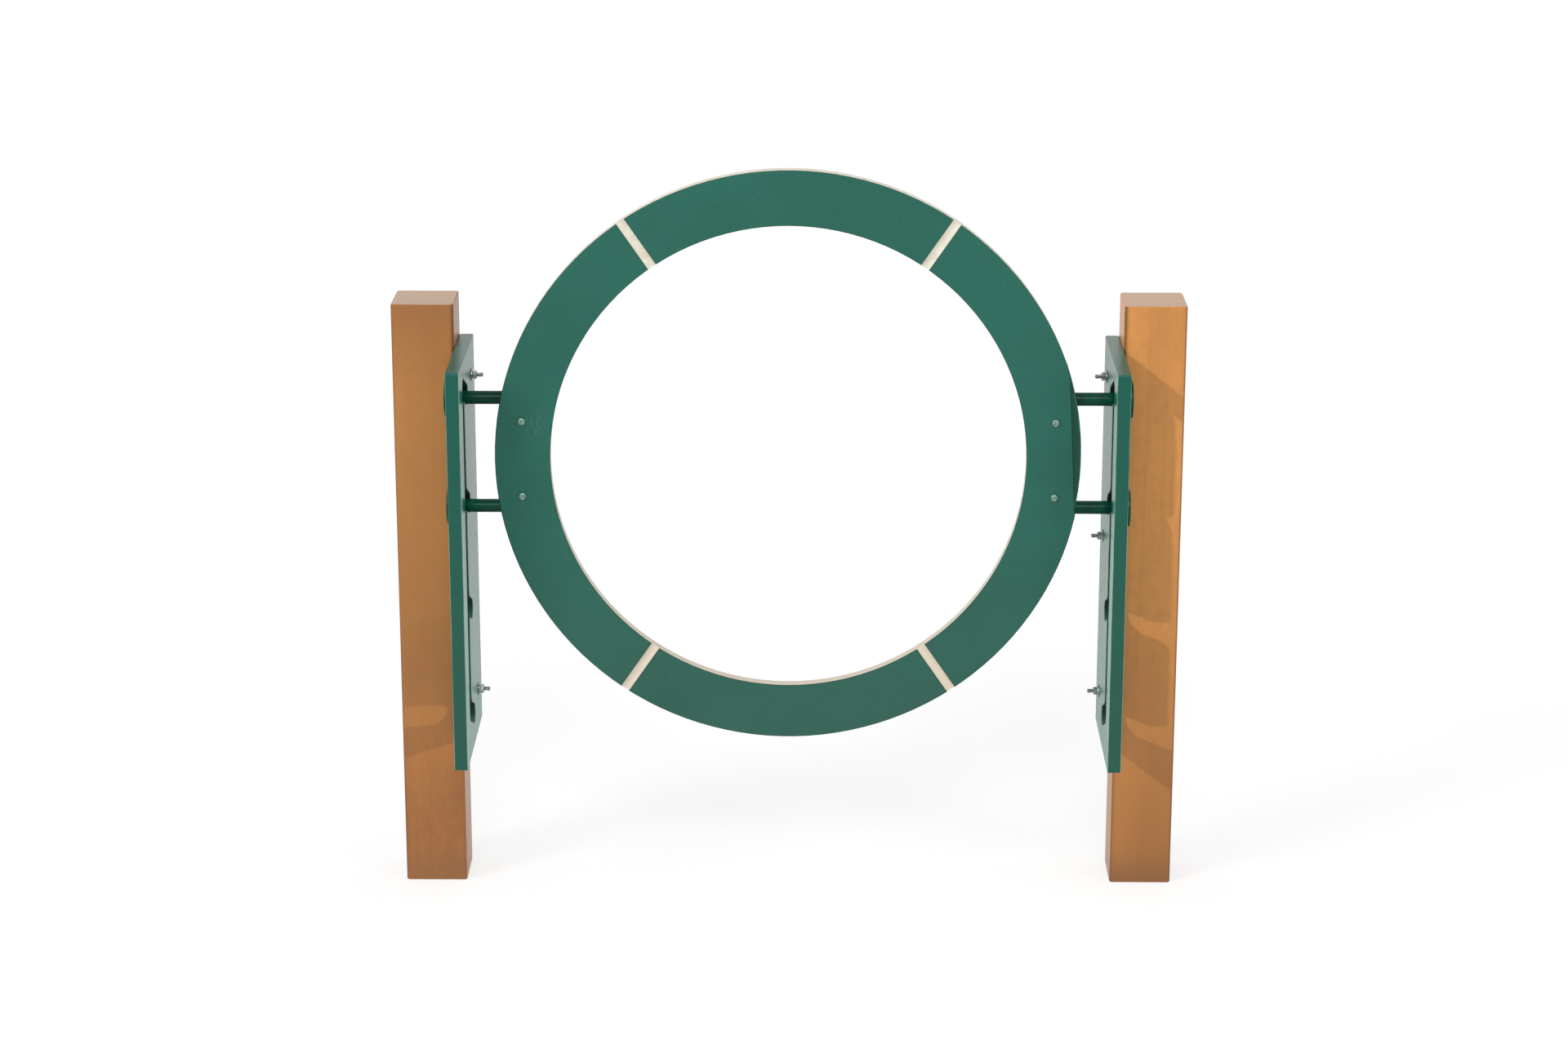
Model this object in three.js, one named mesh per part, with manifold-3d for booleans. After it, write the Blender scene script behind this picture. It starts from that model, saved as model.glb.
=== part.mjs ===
// Agility ring jump: a flat ring that a dog leaps through, hooked into notched plates on two posts.
// Millimetres, +X to the right, +Y away from the viewer, +Z up. The origin lies on the ground, midway
// between the posts and midway along the depth of the side plates.
import * as THREE from "three";
import { mergeVertices } from "three/addons/utils/BufferGeometryUtils.js";
import Module from "manifold-3d";

// Posts: square recycled plastic lumber
const postSize = 88.9;
const postHeight = 870;
const postCornerRadius = 4;
const postEndEase = 1.5; // softened edge of the two cut ends

// Side plates: one on the inner face of each post, flush with its back
const plateThickness = 19.05;
const plateReach = 147; // how far a plate stands out in front of its post
const plateHeight = 582;
const plateTopDrop = 63; // from the top of the post to the top of the plate
const plateCornerRadius = 3;
const plateEase = 1; // softened edge of the outline

// Slot and notches that the ring's tubes hang in
const slotWidth = 28.6;
const slotSetback = 65; // from the plate's front edge to the slot's centre line
const topSeatInset = 60; // from the plate's top edge to the centre of the top seat
const bottomSeatInset = 45.75; // from the plate's bottom edge to the centre of the lowest seat
const notchCount = 4;
const notchSlope = THREE.MathUtils.degToRad(22.5);
const tongueRounding = 12; // how far a tongue's corner is rounded along its two sides

// Ring: three-layer sheet with a short flat on its right edge
const ringOuterRadius = 413;
const ringSideGap = 40.65; // between the ring and a side plate
const ringWidth = 78;
const ringThickness = 19.05;
const ringEase = 1;
const ringFlatDepth = 13;
const ringFlatTurn = THREE.MathUtils.degToRad(3);
const grooveWidth = 15;
const grooveDepth = 4;
const grooveAngle = THREE.MathUtils.degToRad(34.4); // from the vertical

// Mounting blocks behind the ring
const blockThickness = 38.1;
const blockEndReach = 47.625; // from a tube's centre line to the end of the block
const blockWidth = 68;
const blockEase = 1.5;
const blockEndWall = 8; // left behind the blind end of a tube's bore

// Coated tubes and the discs on their outer ends
const tubeDiameter = 19.05;
const tubeWall = 2.1;
const discDiameter = 54;
const discThickness = 4.76;
const discEdgeRadius = 1;
const discSidePlay = 7; // between a plate's outer face and the disc
const discPostClearance = 2; // between the seated disc and the front of the post

// Bolts that hold the plates to the posts, their heads sunk in the posts' outer faces
const boltRecessDiameter = 25.4;
const boltRecessDepth = 12.7;
const boltDiameter = 6.35;
const boltHeadHeight = 4.1;
const boltEndChamfer = 0.8;
const hexAcrossFlats = 11.1;
const hexChamfer = THREE.MathUtils.degToRad(30);
const nutHeight = 5.6;
const washerDiameter = 18.6;
const washerThickness = 1.6;
const topBoltInset = 50; // from the plate's top edge to the upper bolt
const bottomBoltInset = 58; // from the plate's bottom edge to the lower bolt
const plateBoltStud = 9; // shows past the nut
const emptyBore = "left_middle"; // this bore has no bolt on the real one

// Bolts through the ring and its blocks
const ringBoltInset = 38; // from the ring's outer edge
const ringBoltTubeGap = 24.875; // from a ring bolt's centre line to the tube's next to it
const ringBoltHeadDiameter = 11.5;
const ringBoltHeadHeight = 3.3;
const ringBoltHeadRim = 0.8;
const ringBoltSocket = 4; // across the flats of the hexagon socket
const ringBoltSocketDepth = 1.8;
const ringBoltStud = 3;

// Screws that lock the tubes in the blocks, from behind
const lockScrewDiameter = 4.8;
const lockScrewHeadDiameter = 9.5;
const lockScrewHeadHeight = 3;
const lockScrewHeadRim = 0.9;
const lockScrewReach = 4; // how far the point stands inside the tube

// Fits
const seatGap = 0.3; // between pieces that touch
const cutOverrun = 5; // how far a cutter runs past what it cuts

// Facets: each arc of an outline gets twice its number
const ringSegments = 60;
const slotSegments = 6;
const cornerSegments = 2;
const blockSegments = 8;
const tubeSegments = 24;
const discSegments = 32;
const holeSegments = 12;
const recessSegments = 24;
const fastenerSegments = 12;
const washerSegments = 16;
const grooveSegments = 32;
const domeSegments = 3;
const hexSides = 6;

// Heights and depths that follow from the sizes above
const plateDepth = postSize + plateReach;
const plateFront = -plateDepth / 2;
const plateTop = postHeight - plateTopDrop;
const plateMiddle = plateTop - plateHeight / 2;
const postFront = plateDepth / 2 - postSize;
const postMiddleDepth = postFront + postSize / 2;

// Distances from the middle of the jump outwards
const plateInnerFace = ringOuterRadius + ringSideGap;
const plateOuterFace = plateInnerFace + plateThickness;
const postInnerFace = plateOuterFace + seatGap;
const postOuterFace = postInnerFace + postSize;
const discInnerFace = plateOuterFace + discSidePlay;

// Slot, notches and seats in the plane of a plate: depth, then height
const slotDepth = plateFront + slotSetback;
const seatDepth = postFront - discPostClearance - discDiameter / 2;
const topSeatHeight = plateTop - topSeatInset;
const notchPitch = (plateHeight - topSeatInset - bottomSeatInset) / (notchCount - 1);
const notchRise = (seatDepth - slotDepth) * Math.tan(notchSlope);
const tubeDrop = slotWidth / 2 - tubeDiameter / 2 - seatGap; // of a seated tube below the seat's centre

// The ring hangs by two tubes a side in the two top notches
const tubeSpacing = notchPitch;
const ringHeight = topSeatHeight - tubeDrop - tubeSpacing / 2;
const ringInnerRadius = ringOuterRadius - ringWidth;
const blockFront = -blockThickness / 2; // measured from the tubes' axes, as are the next ones
const blockBack = blockThickness / 2;
const ringBack = blockFront - seatGap;
const ringFront = ringBack - ringThickness;
const blockHeight = tubeSpacing + 2 * blockEndReach;
const ringBoltReach = ringOuterRadius - ringBoltInset;
const ringBoltSpacing = tubeSpacing - 2 * ringBoltTubeGap;
const tubeInnerEnd = ringOuterRadius - blockWidth + blockEndWall + seatGap;
const tubeOuterEnd = discInnerFace - seatGap;

// Faces that the plate bolts' heads, washers and nuts start from, and the bolts' ends
const outerWasherFace = postOuterFace - boltRecessDepth + seatGap;
const plateBoltHeadFace = outerWasherFace + washerThickness + seatGap;
const innerWasherFace = plateInnerFace - seatGap - washerThickness;
const plateNutFace = innerWasherFace - seatGap - nutHeight;
const plateBoltEnd = plateNutFace - plateBoltStud;

// The same along the depth of the ring bolts and lock screws
const ringBoltHeadFace = ringFront - seatGap;
const ringWasherFace = blockBack + seatGap;
const ringNutFace = ringWasherFace + washerThickness + seatGap;
const ringBoltEnd = ringNutFace + nutHeight + ringBoltStud;
const lockScrewHeadFace = blockBack + seatGap;

// Words for the levels and sides
const plateBoltLevels = ["upper", "middle", "lower"];
const tubeLevels = ["upper", "lower"];
const sides = [
  ["left", -1],
  ["right", 1],
];

// Materials
const lumber = new THREE.MeshStandardMaterial({ color: 0xb98549, roughness: 0.75 });
const sheet = new THREE.MeshStandardMaterial({ color: 0x1f5a4c, roughness: 0.5 });
const ringSheet = new THREE.MeshStandardMaterial({ color: 0x2c6b5b, roughness: 0.55 });
const coating = new THREE.MeshStandardMaterial({ color: 0x0d3a2c, roughness: 0.3 });
const zinc = new THREE.MeshStandardMaterial({ color: 0xa9aeb0, roughness: 0.35, metalness: 0.9 });

const wasm = await Module();
wasm.setup();

// A closed geometry as a solid that can be joined and cut
function solidOf(geometry) {
  const bare = geometry.clone();
  bare.deleteAttribute("normal");
  bare.deleteAttribute("uv");
  const merged = mergeVertices(bare);
  const mesh = new wasm.Mesh({
    numProp: 3,
    vertProperties: merged.attributes.position.array,
    triVerts: new Uint32Array(merged.index.array),
  });
  return new wasm.Manifold(mesh);
}

// The solid's triangles as a geometry again
function geometryOf(solid) {
  const mesh = solid.getMesh();
  const indexed = new THREE.BufferGeometry();
  indexed.setAttribute("position", new THREE.BufferAttribute(mesh.vertProperties, 3));
  indexed.setIndex(new THREE.BufferAttribute(mesh.triVerts, 1));
  const geometry = indexed.toNonIndexed();
  geometry.computeVertexNormals();
  return geometry;
}

// What is left of a geometry once every cutter has been through it
function cutAway(geometry, cutters) {
  const cut = cutters.reduce((solid, cutter) => solid.subtract(solidOf(cutter)), solidOf(geometry));
  return geometryOf(cut);
}

function namedMesh(name, geometry, material, x = 0, y = 0, z = 0) {
  const mesh = new THREE.Mesh(geometry, material);
  mesh.name = name;
  mesh.position.set(x, y, z);
  return mesh;
}

// An extruded sheet, centred on its thickness, with softened edges
function sheetGeometry(shape, thickness, ease, curveSegments) {
  const geometry = new THREE.ExtrudeGeometry(shape, {
    depth: thickness - 2 * ease,
    bevelThickness: ease,
    bevelSize: ease,
    bevelOffset: -ease,
    bevelSegments: 1,
    curveSegments,
  });
  return geometry.translate(0, 0, ease - thickness / 2);
}

// Turns a sheet drawn in X and Y so that it stands across the jump, its thickness along Y
function standAcross(geometry) {
  return geometry.rotateX(Math.PI / 2);
}

// Turns a sheet drawn as depth and height so that it stands beside the jump, its thickness along X
function standBeside(geometry) {
  const turn = new THREE.Matrix4().makeBasis(
    new THREE.Vector3(0, 1, 0),
    new THREE.Vector3(0, 0, 1),
    new THREE.Vector3(1, 0, 0),
  );
  return geometry.applyMatrix4(turn);
}

function roundedRectangle(width, height, radius) {
  const x = width / 2 - radius;
  const y = height / 2 - radius;
  const shape = new THREE.Shape();
  shape.absarc(x, y, radius, 0, Math.PI / 2);
  shape.absarc(-x, y, radius, Math.PI / 2, Math.PI);
  shape.absarc(-x, -y, radius, Math.PI, 1.5 * Math.PI);
  shape.absarc(x, -y, radius, 1.5 * Math.PI, 2 * Math.PI);
  return shape;
}

// A plain round cutter or rod along X, Y or Z, from one end to the other
function rod(axis, radius, from, to, segments) {
  const geometry = new THREE.CylinderGeometry(radius, radius, to - from, segments);
  if (axis === "x") geometry.rotateZ(-Math.PI / 2);
  if (axis === "z") geometry.rotateX(Math.PI / 2);
  const middle = (from + to) / 2;
  return geometry.translate(
    axis === "x" ? middle : 0,
    axis === "y" ? middle : 0,
    axis === "z" ? middle : 0,
  );
}

// A square post with bores for the plate bolts and a recess for each bolt's head
function postGeometry() {
  const section = roundedRectangle(postSize, postSize, postCornerRadius);
  const body = sheetGeometry(section, postHeight, postEndEase, cornerSegments);
  body.translate(0, 0, postHeight / 2);
  const bore = boltDiameter / 2 + seatGap;
  const outside = postSize / 2 + cutOverrun;
  const recessFloor = postSize / 2 - boltRecessDepth;
  const cutters = plateBoltLevels.flatMap((level, index) => [
    rod("x", bore, -outside, outside, holeSegments).translate(0, 0, plateBoltHeight(index)),
    rod("x", boltRecessDiameter / 2, recessFloor, outside, recessSegments).translate(
      0,
      0,
      plateBoltHeight(index),
    ),
  ]);
  return cutAway(body, cutters);
}

function plateBoltHeight(index) {
  const pitch = (plateHeight - topBoltInset - bottomBoltInset) / (plateBoltLevels.length - 1);
  return plateTop - topBoltInset - index * pitch;
}

// The slot and its slanted notches as one outline, drawn as depth and height from the plate's middle
function notchedSlot() {
  const radius = slotWidth / 2;
  const backSide = slotDepth + radius;
  const eighth = Math.PI / 4;
  const tipRise = radius * Math.tan(eighth - notchSlope / 2);
  const shoulderDrop = radius * Math.tan(eighth + notchSlope / 2);
  const roundedDepth = backSide + tongueRounding * Math.cos(notchSlope);
  const roundedDrop = tongueRounding * Math.sin(notchSlope);
  const upperSide = 2 * eighth - notchSlope;
  const lowerSide = upperSide + Math.PI;
  const lowestMouth = topSeatHeight + notchRise - (notchCount - 1) * notchPitch - plateMiddle;
  const mouths = Array.from({ length: notchCount }, (unused, index) => lowestMouth + index * notchPitch);
  const path = new THREE.Path();
  path.absarc(slotDepth, lowestMouth, radius, Math.PI, lowerSide);
  mouths.forEach((mouth, index) => {
    if (index > 0) {
      const shoulder = mouth - shoulderDrop;
      path.lineTo(backSide, shoulder - tongueRounding);
      path.quadraticCurveTo(backSide, shoulder, roundedDepth, shoulder - roundedDrop);
    }
    path.absarc(seatDepth, mouth - notchRise, radius, lowerSide, upperSide + 2 * Math.PI);
    if (index < notchCount - 1) {
      const tip = mouth + tipRise;
      path.lineTo(roundedDepth, tip - roundedDrop);
      path.quadraticCurveTo(backSide, tip, backSide, tip + tongueRounding);
    }
  });
  path.absarc(slotDepth, mouths.at(-1), radius, upperSide, Math.PI);
  path.closePath();
  return path;
}

// A side plate in its own plane, with the notched slot and the bolt bores
function sidePlateGeometry() {
  const outline = roundedRectangle(plateDepth, plateHeight, plateCornerRadius);
  outline.holes.push(notchedSlot());
  const body = standBeside(sheetGeometry(outline, plateThickness, plateEase, slotSegments));
  body.translate(0, 0, plateMiddle);
  const bore = boltDiameter / 2 + seatGap;
  const outside = plateThickness / 2 + cutOverrun;
  const bores = plateBoltLevels.map((level, index) =>
    rod("x", bore, -outside, outside, holeSegments).translate(
      0,
      postMiddleDepth,
      plateBoltHeight(index),
    ),
  );
  return cutAway(body, bores);
}

// The ring about its own centre, its depth measured from the tubes' axes
function ringGeometry() {
  const halfFlat = Math.acos(1 - ringFlatDepth / ringOuterRadius);
  const outline = new THREE.Shape();
  outline.absarc(0, 0, ringOuterRadius, ringFlatTurn + halfFlat, ringFlatTurn - halfFlat + 2 * Math.PI);
  const hole = new THREE.Path();
  hole.absarc(0, 0, ringInnerRadius, 0, 2 * Math.PI);
  outline.holes.push(hole);
  const body = standAcross(sheetGeometry(outline, ringThickness, ringEase, ringSegments));
  body.translate(0, (ringFront + ringBack) / 2, 0);
  const bores = sides.flatMap(([side, sign]) => ringBoltBores(ringFront, ringBack, sign));
  return cutAway(body, [...grooveCutters(), ...bores]);
}

// Round-nosed cutters that run across the band at the four groove angles
function grooveCutters() {
  const radius = (grooveWidth ** 2 / 4 + grooveDepth ** 2) / (2 * grooveDepth);
  const angles = [grooveAngle, -grooveAngle, Math.PI - grooveAngle, Math.PI + grooveAngle];
  return angles.map((angle) =>
    rod("z", radius, ringInnerRadius - cutOverrun, ringOuterRadius + cutOverrun, grooveSegments)
      .translate(0, ringFront + grooveDepth - radius, 0)
      .rotateY(angle),
  );
}

// Two copies of a cutter, the same way above and below the middle
function aboveAndBelow(cutter, spacing) {
  return [0.5, -0.5].map((share) => cutter.clone().translate(0, 0, share * spacing));
}

// Bores for the two ring bolts of the side that the sign gives
function ringBoltBores(front, back, sign) {
  const radius = boltDiameter / 2 + seatGap;
  const bore = rod("y", radius, front - cutOverrun, back + cutOverrun, holeSegments);
  return aboveAndBelow(bore.translate(sign * ringBoltReach, 0, 0), ringBoltSpacing);
}

// A block with the ring's outer curve, bored for two tubes, two ring bolts and two lock screws
function blockGeometry() {
  const halfTurn = Math.asin(blockHeight / 2 / ringOuterRadius);
  const innerSide = ringOuterRadius - blockWidth;
  const outline = new THREE.Shape();
  outline.moveTo(innerSide, blockHeight / 2);
  outline.lineTo(innerSide, -blockHeight / 2);
  outline.absarc(0, 0, ringOuterRadius, -halfTurn, halfTurn);
  const body = standAcross(sheetGeometry(outline, blockThickness, blockEase, blockSegments));
  const tubeRadius = tubeDiameter / 2 + seatGap;
  const boreEnd = tubeInnerEnd - seatGap;
  const tubeBore = rod("x", tubeRadius, boreEnd, ringOuterRadius + cutOverrun, tubeSegments);
  return cutAway(body, [
    ...aboveAndBelow(tubeBore, tubeSpacing),
    ...aboveAndBelow(lockScrewBore(blockBack), tubeSpacing),
    ...ringBoltBores(blockFront, blockBack, 1),
  ]);
}

// The bore of a lock screw, from a tube's axis back through what lies behind it
function lockScrewBore(back) {
  const radius = lockScrewDiameter / 2 + seatGap;
  return rod("y", radius, 0, back + cutOverrun, holeSegments).translate(ringBoltReach, 0, 0);
}

// A tube along X with a hole in its back for the lock screw
function tubeGeometry() {
  const outer = tubeDiameter / 2;
  const inner = outer - tubeWall;
  const length = tubeOuterEnd - tubeInnerEnd;
  const body = ringLathe(inner, outer, length, tubeSegments);
  body.rotateZ(-Math.PI / 2).translate(tubeInnerEnd, 0, 0);
  return cutAway(body, [lockScrewBore(outer)]);
}

// A turned ring with a rectangular section, from zero up its Y axis
function ringLathe(inner, outer, height, segments) {
  const profile = [
    new THREE.Vector2(inner, 0),
    new THREE.Vector2(outer, 0),
    new THREE.Vector2(outer, height),
    new THREE.Vector2(inner, height),
    new THREE.Vector2(inner, 0),
  ];
  return new THREE.LatheGeometry(profile, segments);
}

// The disc that closes a tube's outer end, with rounded rims
function discGeometry() {
  const radius = discDiameter / 2;
  const shoulder = radius - discEdgeRadius;
  const profile = [
    new THREE.Vector2(0, 0),
    new THREE.Vector2(shoulder, 0),
    new THREE.Vector2(radius, discEdgeRadius),
    new THREE.Vector2(radius, discThickness - discEdgeRadius),
    new THREE.Vector2(shoulder, discThickness),
    new THREE.Vector2(0, discThickness),
  ];
  return new THREE.LatheGeometry(profile, discSegments).rotateZ(-Math.PI / 2);
}

// A washer along X, from zero outwards
function washerGeometry() {
  const inner = boltDiameter / 2 + seatGap;
  return ringLathe(inner, washerDiameter / 2, washerThickness, washerSegments).rotateZ(-Math.PI / 2);
}

// A hexagon along X from zero outwards, its corners chamfered at the far end and, for a nut, at both
function hexagonGeometry(height, bothEnds) {
  const flat = hexAcrossFlats / 2;
  const corner = flat / Math.cos(Math.PI / hexSides);
  const chamfer = (corner - flat) * Math.tan(hexChamfer);
  const prism = new THREE.CylinderGeometry(corner, corner, height, hexSides);
  prism.translate(0, height / 2, 0);
  const nearEnd = bothEnds
    ? [new THREE.Vector2(flat, 0), new THREE.Vector2(corner, chamfer)]
    : [new THREE.Vector2(corner, 0)];
  const profile = [
    new THREE.Vector2(0, 0),
    ...nearEnd,
    new THREE.Vector2(corner, height - chamfer),
    new THREE.Vector2(flat, height),
    new THREE.Vector2(0, height),
  ];
  const turned = new THREE.LatheGeometry(profile, fastenerSegments);
  return geometryOf(solidOf(prism).intersect(solidOf(turned))).rotateZ(-Math.PI / 2);
}

function nutGeometry() {
  const radius = boltDiameter / 2 + seatGap;
  const bore = rod("x", radius, -cutOverrun, nutHeight + cutOverrun, fastenerSegments);
  return cutAway(hexagonGeometry(nutHeight, true), [bore]);
}

// A plate bolt along X: its head stands outwards from zero and its shank runs inwards
function plateBoltGeometry() {
  const radius = boltDiameter / 2;
  const end = plateBoltEnd - plateBoltHeadFace;
  const profile = [
    new THREE.Vector2(0, end),
    new THREE.Vector2(radius - boltEndChamfer, end),
    new THREE.Vector2(radius, end + boltEndChamfer),
    new THREE.Vector2(radius, boltHeadHeight / 2),
    new THREE.Vector2(0, boltHeadHeight / 2),
  ];
  const shank = new THREE.LatheGeometry(profile, fastenerSegments).rotateZ(-Math.PI / 2);
  return geometryOf(solidOf(hexagonGeometry(boltHeadHeight, false)).add(solidOf(shank)));
}

// A fastener along Y with a domed head that stands up from zero
function domedFastener(radius, length, headRadius, headHeight, rim) {
  const profile = [
    new THREE.Vector2(0, -length),
    new THREE.Vector2(radius - boltEndChamfer, -length),
    new THREE.Vector2(radius, boltEndChamfer - length),
    new THREE.Vector2(radius, 0),
    new THREE.Vector2(headRadius, 0),
  ];
  for (let step = 0; step < domeSegments; step += 1) {
    const turn = (step / domeSegments) * (Math.PI / 2);
    const height = rim + (headHeight - rim) * Math.sin(turn);
    profile.push(new THREE.Vector2(headRadius * Math.cos(turn), height));
  }
  profile.push(new THREE.Vector2(0, headHeight));
  return new THREE.LatheGeometry(profile, fastenerSegments);
}

// A ring bolt: its head, with a hexagon socket, faces forwards and its shank runs back
function ringBoltGeometry() {
  const bolt = domedFastener(
    boltDiameter / 2,
    ringBoltEnd - ringBoltHeadFace,
    ringBoltHeadDiameter / 2,
    ringBoltHeadHeight,
    ringBoltHeadRim,
  );
  const corner = ringBoltSocket / 2 / Math.cos(Math.PI / hexSides);
  const bottom = ringBoltHeadHeight - ringBoltSocketDepth;
  const socket = rod("y", corner, bottom, ringBoltHeadHeight + cutOverrun, hexSides);
  return cutAway(bolt, [socket]).rotateX(Math.PI);
}

// A lock screw: its head rests on the block's back and its point stands inside the tube
function lockScrewGeometry() {
  const length = lockScrewHeadFace - (tubeDiameter / 2 - tubeWall - lockScrewReach);
  return domedFastener(
    lockScrewDiameter / 2,
    length,
    lockScrewHeadDiameter / 2,
    lockScrewHeadHeight,
    lockScrewHeadRim,
  );
}

// Shapes that several copies share
const plateBolt = plateBoltGeometry();
const nut = nutGeometry();
const washer = washerGeometry();
const tube = tubeGeometry();
const disc = discGeometry();
const ringBolt = ringBoltGeometry();
const lockScrew = lockScrewGeometry();

// One half of the stand, built on the right and mirrored for the left: post, plate and plate bolts
function standHalf(side, sign) {
  const half = new THREE.Group();
  half.scale.x = sign;
  const postMiddle = postInnerFace + postSize / 2;
  const plateMiddleFace = (plateOuterFace + plateInnerFace) / 2;
  half.add(
    namedMesh(`${side}_post`, postGeometry(), lumber, postMiddle, postMiddleDepth),
    namedMesh(`${side}_side_plate`, sidePlateGeometry(), sheet, plateMiddleFace),
  );
  plateBoltLevels.forEach((level, index) => {
    const place = `${side}_${level}`;
    if (place === emptyBore) return;
    const bolt = new THREE.Group();
    bolt.position.set(0, postMiddleDepth, plateBoltHeight(index));
    bolt.add(
      namedMesh(`${place}_plate_bolt`, plateBolt, zinc, plateBoltHeadFace),
      namedMesh(`${place}_outer_washer`, washer, zinc, outerWasherFace),
      namedMesh(`${place}_inner_washer`, washer, zinc, innerWasherFace),
      namedMesh(`${place}_plate_nut`, nut, zinc, plateNutFace),
    );
    half.add(bolt);
  });
  return half;
}

// One side of what carries the ring, built on the right and mirrored for the left
function ringCarrier(side, sign) {
  const carrier = new THREE.Group();
  carrier.scale.x = sign;
  carrier.add(namedMesh(`${side}_mount_block`, blockGeometry(), sheet));
  const backWasher = washer.clone().rotateZ(Math.PI / 2);
  const backNut = nut.clone().rotateZ(Math.PI / 2);
  tubeLevels.forEach((level, index) => {
    const share = 0.5 - index;
    const tubeLine = new THREE.Group();
    tubeLine.position.set(0, 0, share * tubeSpacing);
    tubeLine.add(
      namedMesh(`${side}_${level}_tube`, tube, coating),
      namedMesh(`${side}_${level}_end_disc`, disc, coating, discInnerFace),
      namedMesh(`${side}_${level}_lock_screw`, lockScrew, zinc, ringBoltReach, lockScrewHeadFace),
    );
    const boltLine = new THREE.Group();
    boltLine.position.set(ringBoltReach, 0, share * ringBoltSpacing);
    boltLine.add(
      namedMesh(`${side}_${level}_ring_bolt`, ringBolt, zinc, 0, ringBoltHeadFace),
      namedMesh(`${side}_${level}_ring_washer`, backWasher, zinc, 0, ringWasherFace),
      namedMesh(`${side}_${level}_ring_nut`, backNut, zinc, 0, ringNutFace),
    );
    carrier.add(tubeLine, boltLine);
  });
  return carrier;
}

// The assembly: the stand stays put, and the ring with its carriers hangs in the two top notches
const jump = new THREE.Group();
const stand = new THREE.Group();
const hungRing = new THREE.Group();
hungRing.position.set(0, seatDepth, ringHeight);
hungRing.add(namedMesh("ring", ringGeometry(), ringSheet));
for (const [side, sign] of sides) {
  stand.add(standHalf(side, sign));
  hungRing.add(ringCarrier(side, sign));
}
jump.add(stand, hungRing);

export default jump;
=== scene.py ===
# Ring jump for dogs: finishes, fine fasteners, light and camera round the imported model, in metres.
import math

import bmesh
import bpy
from mathutils import Color, Matrix, Vector


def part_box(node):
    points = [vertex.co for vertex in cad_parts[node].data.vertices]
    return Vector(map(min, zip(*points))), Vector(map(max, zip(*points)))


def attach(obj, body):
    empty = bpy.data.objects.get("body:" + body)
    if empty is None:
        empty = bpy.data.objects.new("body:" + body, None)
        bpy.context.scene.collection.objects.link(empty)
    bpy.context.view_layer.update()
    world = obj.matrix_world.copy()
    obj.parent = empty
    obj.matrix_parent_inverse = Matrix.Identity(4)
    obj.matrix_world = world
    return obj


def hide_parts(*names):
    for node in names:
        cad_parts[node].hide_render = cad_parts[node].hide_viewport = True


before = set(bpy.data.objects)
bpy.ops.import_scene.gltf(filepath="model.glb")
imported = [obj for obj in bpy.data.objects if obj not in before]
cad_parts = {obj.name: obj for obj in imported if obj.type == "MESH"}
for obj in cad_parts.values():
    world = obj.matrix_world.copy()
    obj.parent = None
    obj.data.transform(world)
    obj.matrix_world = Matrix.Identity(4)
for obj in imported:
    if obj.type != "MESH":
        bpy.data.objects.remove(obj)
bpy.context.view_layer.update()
mm = 0.001
fullTurn = 2 * math.pi
print("frame loaded:", len(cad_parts), "nodes")


# Camera

camera = {
    "place": (0.0365, -5.1097, 2.0701),
    "turn": -0.479,  # degrees, towards +X
    "dip": 16.465,  # degrees below the horizon
    "tilt": 0.056,  # degrees that the picture turns clockwise
    "sensor": 36.0,
    "lens": 85.91,
    "farthest": 200.0,
}


def makeCamera():
    turn, dip, tilt = (math.radians(camera[key]) for key in ("turn", "dip", "tilt"))
    ahead = Vector((math.sin(turn) * math.cos(dip), math.cos(turn) * math.cos(dip), -math.sin(dip)))
    level = Vector((math.cos(turn), -math.sin(turn), 0))
    above = level.cross(ahead)
    right = level * math.cos(tilt) + above * math.sin(tilt)
    up = above * math.cos(tilt) - level * math.sin(tilt)
    data = bpy.data.cameras.new("camera")
    data.sensor_width = camera["sensor"]
    data.lens = camera["lens"]
    data.clip_end = camera["farthest"]
    eye = bpy.data.objects.new("camera", data)
    axes = Matrix((right, up, -ahead)).transposed().to_4x4()
    eye.matrix_world = Matrix.Translation(camera["place"]) @ axes
    bpy.context.scene.collection.objects.link(eye)
    bpy.context.scene.camera = eye


makeCamera()
print("camera placed")


# Node helpers

def feed(tree, socket, value):
    # another node's output is linked to the socket, and a plain value is set on it
    if isinstance(value, bpy.types.NodeSocket):
        tree.links.new(value, socket)
    else:
        socket.default_value = value


def addNode(tree, kind, values=None, **settings):
    made = tree.nodes.new(kind)
    for key, value in settings.items():
        setattr(made, key, value)
    for key, value in (values or {}).items():
        feed(tree, made.inputs[key], value)
    return made


def maths(tree, operation, first, second=0.0, third=0.0):
    values = {0: first, 1: second, 2: third}
    return addNode(tree, "ShaderNodeMath", values, operation=operation).outputs[0]


def times(tree, first, second):
    return maths(tree, "MULTIPLY", first, second)


def timesPlus(tree, first, second, third):
    return maths(tree, "MULTIPLY_ADD", first, second, third)


def unsigned(tree, value):
    return maths(tree, "ABSOLUTE", value)


def restOf(tree, share):
    return maths(tree, "SUBTRACT", 1.0, share)


def ramped(tree, value, low, high, toLow=0.0, toHigh=1.0):
    ends = {"Value": value, "From Min": low, "From Max": high, "To Min": toLow, "To Max": toHigh}
    return addNode(tree, "ShaderNodeMapRange", ends, interpolation_type="SMOOTHSTEP").outputs[0]


def partsOf(tree, vector):
    return addNode(tree, "ShaderNodeSeparateXYZ", {0: vector}).outputs


def scaled(tree, vector, scale):
    values = {0: vector, 1: scale}
    return addNode(tree, "ShaderNodeVectorMath", values, operation="MULTIPLY").outputs[0]


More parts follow.
